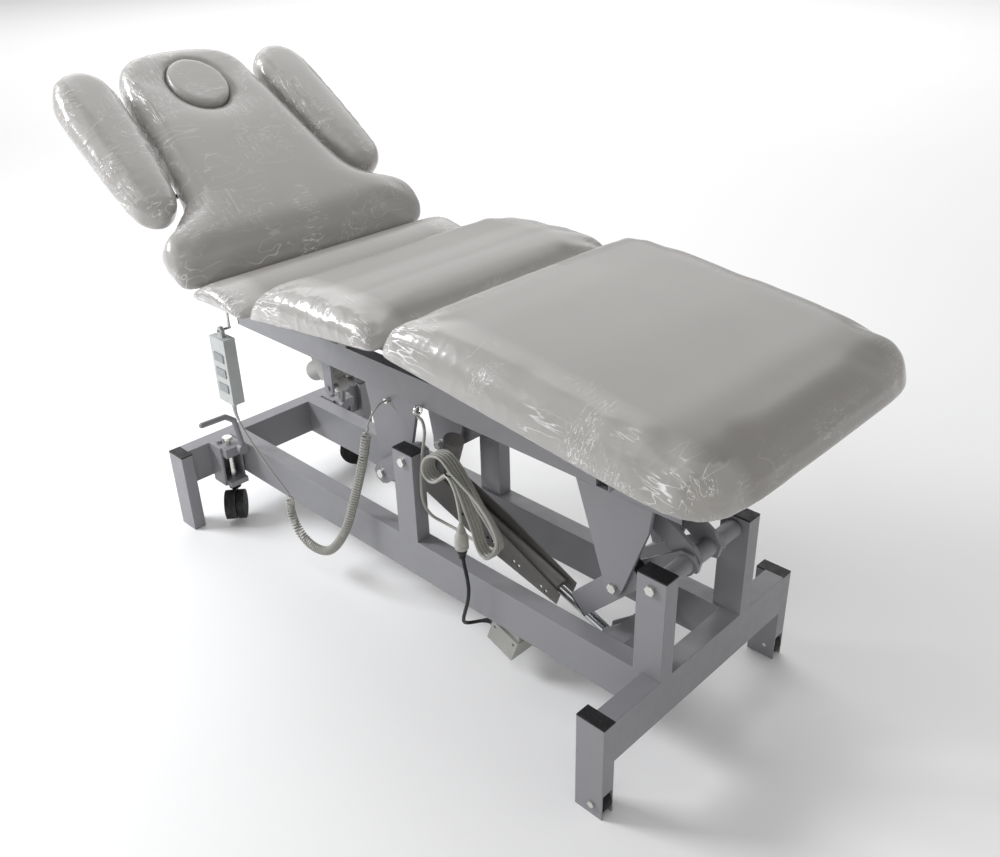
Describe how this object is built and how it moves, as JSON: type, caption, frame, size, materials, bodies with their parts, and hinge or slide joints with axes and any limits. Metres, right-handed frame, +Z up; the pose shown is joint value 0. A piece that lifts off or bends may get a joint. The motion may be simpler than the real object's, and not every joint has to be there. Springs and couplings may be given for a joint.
{
  "type": "facial treatment bed",
  "caption": "Powered facial treatment bed: white tube base, parallelogram lift, raised back with face opening and arm pads, seat, thigh and leg sections, handset on a curly cord.",
  "frame": {"origin": "on the floor under the middle of the bed's box, without the free cords", "axes": "+X towards the foot end, +Y away from the handset side, +Z up"},
  "size_m": [1.8064, 0.668, 1.1198],
  "materials": {
    "frame_white": "white powder coat",
    "cap_black": "black moulded plastic",
    "bolt_zinc": "bright zinc plated",
    "upholstery": "off-white synthetic leather over foam, still in clear film",
    "motor_grey": "light grey plastic housing",
    "rod_steel": "ground steel",
    "handset_grey": "grey plastic",
    "key_grey": "dark grey keys",
    "cord_grey": "grey cable sheath",
    "tyre_black": "black wheel",
    "cord_black": "black cable sheath"
  },
  "bodies": {
    "base": {"legs": "frame_white", "cross_rails": "frame_white", "side_rails": "frame_white", "uprights": "frame_white", "tube_caps": "cap_black", "base_bolts": "bolt_zinc", "base_lugs": "frame_white", "power_box": "handset_grey", "castor_channels": "frame_white", "mains_lead": "cord_black"},
    "foot_arms": {"pivot_cross_tube": "frame_white", "arm_tubes": "frame_white", "arm_links": "frame_white", "arm_tube_caps": "cap_black"},
    "mid_arms": {"mid_arms": "frame_white"},
    "upper_frame": {"frame_rails": "frame_white", "frame_cross_tubes": "frame_white", "frame_end_caps": "cap_black", "gusset_plates": "frame_white", "gusset_bolts": "bolt_zinc", "actuator_hangers": "frame_white", "seat_frame": "frame_white", "seat_pins": "bolt_zinc", "seat_pad": "upholstery", "leg_tracks": "frame_white", "wire_hooks": "bolt_zinc", "handset_cord": "cord_grey", "mains_hank": "cord_grey", "mains_plug": "cord_grey"},
    "lift_actuator": {"lift_actuator": "motor_grey"},
    "lift_rod": {"lift_rod": "rod_steel"},
    "back_actuator": {"back_actuator": "motor_grey"},
    "back_rod": {"back_rod": "rod_steel"},
    "knee_actuator": {"knee_actuator": "motor_grey"},
    "knee_rod": {"knee_rod": "rod_steel"},
    "back_section": {"back_pad": "upholstery", "back_rails": "frame_white", "arm_sockets": "frame_white"},
    "face_plug": {"face_plug": "upholstery"},
    "arm_pad_near": {"arm_pad_near": "upholstery"},
    "arm_pad_far": {"arm_pad_far": "upholstery"},
    "thigh_section": {"thigh_pad": "upholstery", "thigh_rails": "frame_white"},
    "leg_section": {"leg_pad": "upholstery", "leg_rails": "frame_white"},
    "leg_rollers": {"leg_rollers": "tyre_black"},
    "handset": {"handset_shell": "handset_grey"},
    "rocker_1": {"rocker_1": "key_grey"},
    "rocker_2": {"rocker_2": "key_grey"},
    "rocker_3": {"rocker_3": "key_grey"},
    "foot_wheel_near": {"foot_wheel_near": "tyre_black"},
    "castor_stem_near": {"castor_stem_near": "bolt_zinc"},
    "castor_fork_near": {"castor_fork_near": "cap_black"},
    "castor_wheels_near": {"castor_wheels_near": "tyre_black"},
    "castor_lever_near": {"castor_lever_near": "frame_white"},
    "foot_wheel_far": {"foot_wheel_far": "tyre_black"},
    "castor_stem_far": {"castor_stem_far": "bolt_zinc"},
    "castor_fork_far": {"castor_fork_far": "cap_black"},
    "castor_wheels_far": {"castor_wheels_far": "tyre_black"},
    "castor_lever_far": {"castor_lever_far": "frame_white"}
  },
  "joints": [
    {"name": "lift", "type": "hinge", "parent": "base", "child": "foot_arms", "pos_m": [0.69009, 0, 0.396], "axis": [0, 1, 0], "range_deg": [0, 75]},
    {"name": "mid_arm_swing", "type": "hinge", "parent": "base", "child": "mid_arms", "pos_m": [0.06109, 0, 0.396], "axis": [0, 1, 0], "range_deg": [0, 75]},
    {"name": "frame_level", "type": "hinge", "parent": "foot_arms", "child": "upper_frame", "pos_m": [0.56309, 0, 0.3], "axis": [0, 1, 0], "range_deg": [-75, 0]},
    {"name": "lift_actuator_swing", "type": "hinge", "parent": "upper_frame", "child": "lift_actuator", "pos_m": [-0.02991, 0, 0.29], "axis": [0, 1, 0], "range_deg": [0, 16.22]},
    {"name": "lift_rod_slide", "type": "slide", "parent": "lift_actuator", "child": "lift_rod", "axis": [0.946, 0, -0.3241], "range_m": [0, 0.09401]},
    {"name": "back_tilt", "type": "hinge", "parent": "upper_frame", "child": "back_section", "pos_m": [-0.36991, 0, 0.69], "axis": [0, 1, 0], "range_deg": [-34, 26]},
    {"name": "back_actuator_swing", "type": "hinge", "parent": "upper_frame", "child": "back_actuator", "pos_m": [-0.32491, 0, 0.4], "axis": [0, 1, 0], "range_deg": [-12.68, 9.7]},
    {"name": "back_rod_slide", "type": "slide", "parent": "back_actuator", "child": "back_rod", "axis": [-0.5345, 0, 0.8452], "range_m": [-0.07265, 0.05556]},
    {"name": "thigh_tilt", "type": "hinge", "parent": "upper_frame", "child": "thigh_section", "pos_m": [-0.16491, 0, 0.69], "axis": [0, -1, 0], "range_deg": [-6.3, 15.7]},
    {"name": "leg_tilt", "type": "hinge", "parent": "thigh_section", "child": "leg_section", "pos_m": [0.2287, 0, 0.73345], "axis": [0, -1, 0], "range_deg": [-31.4, 12.6]},
    {"name": "knee_actuator_swing", "type": "hinge", "parent": "upper_frame", "child": "knee_actuator", "pos_m": [0.39009, 0, 0.52], "axis": [0, 1, 0], "range_deg": [-4.62, 11.51]},
    {"name": "knee_rod_slide", "type": "slide", "parent": "knee_actuator", "child": "knee_rod", "axis": [-0.8398, 0, 0.5429], "range_m": [-0.02079, 0.0518]},
    {"name": "leg_roller_spin", "type": "hinge", "parent": "leg_section", "child": "leg_rollers", "pos_m": [0.61572, 0, 0.63036], "axis": [0, 1, 0], "continuous": true},
    {"name": "face_plug_lift", "type": "slide", "parent": "back_section", "child": "face_plug", "axis": [0.5592, 0, 0.829], "range_m": [0, 0.09]},
    {"name": "arm_pad_near_pull", "type": "slide", "parent": "back_section", "child": "arm_pad_near", "axis": [0, -1, 0], "range_m": [0, 0.05]},
    {"name": "arm_pad_far_pull", "type": "slide", "parent": "back_section", "child": "arm_pad_far", "axis": [0, 1, 0], "range_m": [0, 0.05]},
    {"name": "foot_wheel_near_roll", "type": "hinge", "parent": "base", "child": "foot_wheel_near", "pos_m": [0.69809, -0.28, 0.026], "axis": [0, 1, 0], "continuous": true},
    {"name": "castor_lever_near_turn", "type": "hinge", "parent": "base", "child": "castor_lever_near", "pos_m": [-0.54891, -0.16, 0.205], "axis": [1, 0, 0], "range_deg": [0, 75]},
    {"name": "castor_drop_near", "type": "slide", "parent": "base", "child": "castor_stem_near", "axis": [0, 0, -1], "range_m": [0, 0.01201]},
    {"name": "castor_swivel_near", "type": "hinge", "parent": "castor_stem_near", "child": "castor_fork_near", "pos_m": [-0.58591, -0.177, 0.092], "axis": [0, 0, 1], "continuous": true},
    {"name": "castor_roll_near", "type": "hinge", "parent": "castor_fork_near", "child": "castor_wheels_near", "pos_m": [-0.566, -0.19371, 0.0495], "axis": [0.6428, 0.766, 0], "continuous": true},
    {"name": "foot_wheel_far_roll", "type": "hinge", "parent": "base", "child": "foot_wheel_far", "pos_m": [0.69809, 0.28, 0.026], "axis": [0, 1, 0], "continuous": true},
    {"name": "castor_lever_far_turn", "type": "hinge", "parent": "base", "child": "castor_lever_far", "pos_m": [-0.54891, 0.16, 0.205], "axis": [-1, 0, 0], "range_deg": [0, 75]},
    {"name": "castor_drop_far", "type": "slide", "parent": "base", "child": "castor_stem_far", "axis": [0, 0, -1], "range_m": [0, 0.01201]},
    {"name": "castor_swivel_far", "type": "hinge", "parent": "castor_stem_far", "child": "castor_fork_far", "pos_m": [-0.58591, 0.177, 0.092], "axis": [0, 0, 1], "continuous": true},
    {"name": "castor_roll_far", "type": "hinge", "parent": "castor_fork_far", "child": "castor_wheels_far", "pos_m": [-0.566, 0.19371, 0.0495], "axis": [0.6428, -0.766, 0], "continuous": true},
    {"name": "handset_swing", "type": "hinge", "parent": "upper_frame", "child": "handset", "pos_m": [-0.35391, -0.271, 0.614], "axis": [0, 1, 0], "range_deg": [-15, 15]},
    {"name": "rocker_1_tilt", "type": "hinge", "parent": "handset", "child": "rocker_1", "pos_m": [-0.35391, -0.284, 0.556], "axis": [1, 0, 0], "range_deg": [-4, 4], "stiffness_Nm_per_rad": 0.3},
    {"name": "rocker_2_tilt", "type": "hinge", "parent": "handset", "child": "rocker_2", "pos_m": [-0.35391, -0.284, 0.52], "axis": [1, 0, 0], "range_deg": [-4, 4], "stiffness_Nm_per_rad": 0.3},
    {"name": "rocker_3_tilt", "type": "hinge", "parent": "handset", "child": "rocker_3", "pos_m": [-0.35391, -0.284, 0.484], "axis": [1, 0, 0], "range_deg": [-4, 4], "stiffness_Nm_per_rad": 0.3}
  ],
  "couplings": [
    {"joint": "mid_arm_swing", "follows": "lift", "ratio": 1},
    {"joint": "frame_level", "follows": "lift", "ratio": -1},
    {"joint": "lift_actuator_swing", "follows": "lift", "ratio": 0.21613},
    {"joint": "lift_rod_slide", "follows": "lift", "m_per_rad": 0.071811},
    {"joint": "back_actuator_swing", "follows": "back_tilt", "ratio": 0.37262},
    {"joint": "back_rod_slide", "follows": "back_tilt", "m_per_rad": 0.12241},
    {"joint": "leg_tilt", "follows": "thigh_tilt", "ratio": -2},
    {"joint": "knee_actuator_swing", "follows": "thigh_tilt", "ratio": 0.73257},
    {"joint": "knee_rod_slide", "follows": "thigh_tilt", "m_per_rad": 0.18902},
    {"joint": "castor_drop_near", "follows": "castor_lever_near_turn", "m_per_rad": 0.009167},
    {"joint": "castor_drop_far", "follows": "castor_lever_far_turn", "m_per_rad": 0.009167}
  ]
}
